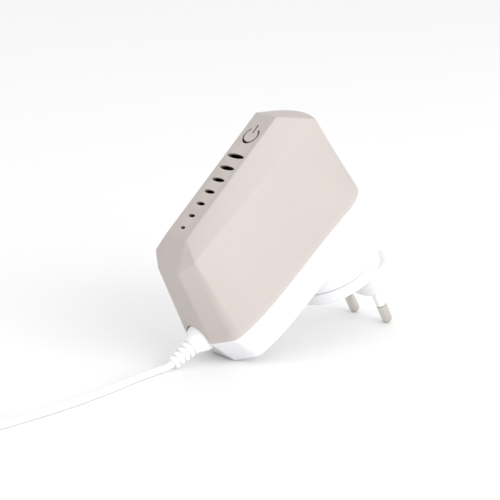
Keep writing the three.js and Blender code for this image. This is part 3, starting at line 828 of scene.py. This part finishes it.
def surface(name, dark, light, rough, grain, bump, metallic=0.0):
    """Moulded or plated surface: mottled colour, uneven gloss, edges lightened both as rubbed wear and as a
    painted highlight, and a fine grain in relief.
    """
    material, nodes, links, shader = new_material(name)
    place = nodes.new("ShaderNodeTexCoord")
    fine = nodes.new("ShaderNodeTexNoise")
    fine.inputs["Scale"].default_value = grain
    fine.inputs["Detail"].default_value = 3
    wide = nodes.new("ShaderNodeTexNoise")
    wide.inputs["Scale"].default_value = MOTTLE_SCALE
    wide.inputs["Detail"].default_value = 4
    for noise in (fine, wide):
        links.new(place.outputs["Object"], noise.inputs["Vector"])
    tint = nodes.new("ShaderNodeMix")
    tint.data_type = "RGBA"
    tint.inputs["A"].default_value = (*dark, 1)
    tint.inputs["B"].default_value = (*light, 1)
    links.new(wide.outputs["Fac"], tint.inputs["Factor"])
    shape = nodes.new("ShaderNodeNewGeometry")
    edge = nodes.new("ShaderNodeMapRange")
    edge.inputs["From Min"].default_value = EDGE_POINTINESS[0]
    edge.inputs["From Max"].default_value = EDGE_POINTINESS[1]
    edge.inputs["To Max"].default_value = EDGE_WEAR_AND_HIGHLIGHT
    links.new(shape.outputs["Pointiness"], edge.inputs["Value"])
    # Painted highlight and rubbed wear: sharp edges are lightened in the base colour.
    rubbed_and_highlight = nodes.new("ShaderNodeMix")
    rubbed_and_highlight.data_type = "RGBA"
    rubbed_and_highlight.inputs["B"].default_value = (*(min(1, channel * RUBBED_AND_HIGHLIGHT_GAIN) for channel in light), 1)
    links.new(edge.outputs["Result"], rubbed_and_highlight.inputs["Factor"])
    links.new(tint.outputs["Result"], rubbed_and_highlight.inputs["A"])
    links.new(rubbed_and_highlight.outputs["Result"], shader.inputs["Base Color"])
    gloss = nodes.new("ShaderNodeMapRange")
    gloss.inputs["To Min"].default_value = rough[0]
    gloss.inputs["To Max"].default_value = rough[1]
    links.new(wide.outputs["Fac"], gloss.inputs["Value"])
    links.new(gloss.outputs["Result"], shader.inputs["Roughness"])
    relief = nodes.new("ShaderNodeBump")
    relief.inputs["Strength"].default_value = bump
    relief.inputs["Distance"].default_value = GRAIN_DEPTH
    links.new(fine.outputs["Fac"], relief.inputs["Height"])
    links.new(relief.outputs["Normal"], shader.inputs["Normal"])
    shader.inputs["Metallic"].default_value = metallic
    return material


MATERIALS = {
    "shell_champagne": surface(
        "champagne", (0.47, 0.42, 0.397), (0.50, 0.448, 0.425), (0.42, 0.52), 9000, 0.45),
    "shell_white": surface(
        "gloss_white", (0.745, 0.75, 0.765), (0.775, 0.78, 0.795), (0.16, 0.24), 2500, 0.05),
    "lead_white": surface("satin_white", (0.82, 0.82, 0.82), (0.86, 0.86, 0.86), (0.42, 0.52), 6000, 0.2),
    "symbol_dark": surface("symbol_dark", (0.012, 0.012, 0.013), (0.02, 0.02, 0.022), (0.5, 0.6), 6000, 0.2),
    "nickel": surface("nickel", (0.52, 0.495, 0.46), (0.68, 0.65, 0.61), (0.16, 0.3), 3000, 0.15, 1.0),
    "sleeve_white": surface("sleeve_white", (0.74, 0.74, 0.745), (0.79, 0.79, 0.79), (0.3, 0.4), 5000, 0.1),
    "contact_copper": surface("copper", (0.62, 0.33, 0.18), (0.70, 0.40, 0.24), (0.25, 0.4), 4000, 0.2, 1.0),
    "board_green": surface("board_green", (0.02, 0.14, 0.05), (0.03, 0.18, 0.07), (0.3, 0.4), 4000, 0.1),
    "ferrite": surface("ferrite", (0.03, 0.03, 0.033), (0.05, 0.05, 0.055), (0.6, 0.75), 5000, 0.5),
    "winding_tape": surface("winding_tape", (0.62, 0.42, 0.05), (0.70, 0.50, 0.08), (0.25, 0.4), 1500, 0.2),
    "black_plastic": surface(
        "black_plastic", (0.012, 0.012, 0.013), (0.02, 0.02, 0.022), (0.4, 0.55), 5000, 0.3),
    "blue_film": surface("blue_film", (0.02, 0.06, 0.28), (0.03, 0.08, 0.34), (0.2, 0.3), 3000, 0.1),
    "grey_plastic": surface("grey_plastic", (0.25, 0.26, 0.28), (0.30, 0.31, 0.33), (0.4, 0.5), 4000, 0.2),
    "red_ceramic": surface("red_ceramic", (0.32, 0.02, 0.015), (0.38, 0.03, 0.02), (0.3, 0.4), 4000, 0.1),
    "sink_metal": surface("sink_metal", (0.55, 0.56, 0.57), (0.62, 0.63, 0.64), (0.35, 0.5), 3000, 0.3, 1.0),
}


def paint(piece, slot_name):
    piece.data.materials.clear()
    piece.data.materials.append(MATERIALS[slot_name])


def paint_cad_nodes():
    for subpart in frame["record"]["subparts"]:
        node = frame["nodes"][subpart["node"]]
        for material_slot in node.material_slots:
            material_slot.material = MATERIALS[subpart["material_slot"]]


# ------------------------------------------------------------------ floor and light
def floor():
    bm = bmesh.new()
    bmesh.ops.create_grid(bm, x_segments=1, y_segments=1, size=3)
    mesh = bpy.data.meshes.new("floor")
    bm.to_mesh(mesh)
    bm.free()
    piece = bpy.data.objects.new("floor", mesh)
    bpy.context.scene.collection.objects.link(piece)
    mesh.materials.append(surface("floor", (0.9, 0.9, 0.9), (0.91, 0.91, 0.91), (0.6, 0.7), 400, 0.02))


# Name, place, target, size in metres and watts.
LIGHTS = (
    ("key", (0.1, -1.4, 0.62), (0, 0, 0.03), (1.4, 1.2), 13.5),
    ("fill", (-0.55, -1.1, 0.12), (-0.02, 0, 0.03), (0.7, 0.2), 1.0),
)
WORLD_STRENGTH = 0.98


def area_light(name, place, target, size, power):
    data = bpy.data.lights.new(name, "AREA")
    data.shape = "RECTANGLE"
    data.size, data.size_y = size
    data.energy = power
    light = bpy.data.objects.new(name, data)
    bpy.context.scene.collection.objects.link(light)
    aim = (Vector(target) - Vector(place)).to_track_quat("-Z", "Y")
    light.matrix_world = Matrix.Translation(place) @ aim.to_matrix().to_4x4()


def studio():
    scene = bpy.context.scene
    scene.view_settings.view_transform = "Standard"
    world = bpy.data.worlds.new("studio")
    scene.world = world
    world.use_nodes = True
    background = world.node_tree.nodes["Background"]
    background.inputs["Color"].default_value = (1, 1, 1, 1)
    background.inputs["Strength"].default_value = WORLD_STRENGTH
    for light in LIGHTS:
        area_light(*light)


# ------------------------------------------------------------------ build
lead_piece = lead()
relief_piece = strain_relief()
plug_pieces = dc_plug()
tie_piece = cable_tie()
front_piece = front_shell()
rear_piece = rear_shell()
button_piece = release_button()
head_piece = plug_head()
pin_pieces = pins()

for piece, slot_name in (
    (lead_piece, "lead_white"), (relief_piece, "lead_white"), (plug_pieces[0], "lead_white"),
    (plug_pieces[1], "nickel"), (tie_piece, "black_plastic"), (front_piece, "shell_champagne"),
    (rear_piece, "shell_white"), (button_piece, "lead_white"), (head_piece, "shell_white"),
):
    paint(piece, slot_name)
for pin_piece, sleeve_piece in pin_pieces:
    paint(pin_piece, "nickel")
    paint(sleeve_piece, "sleeve_white")
paint_cad_nodes()

floor()
studio()
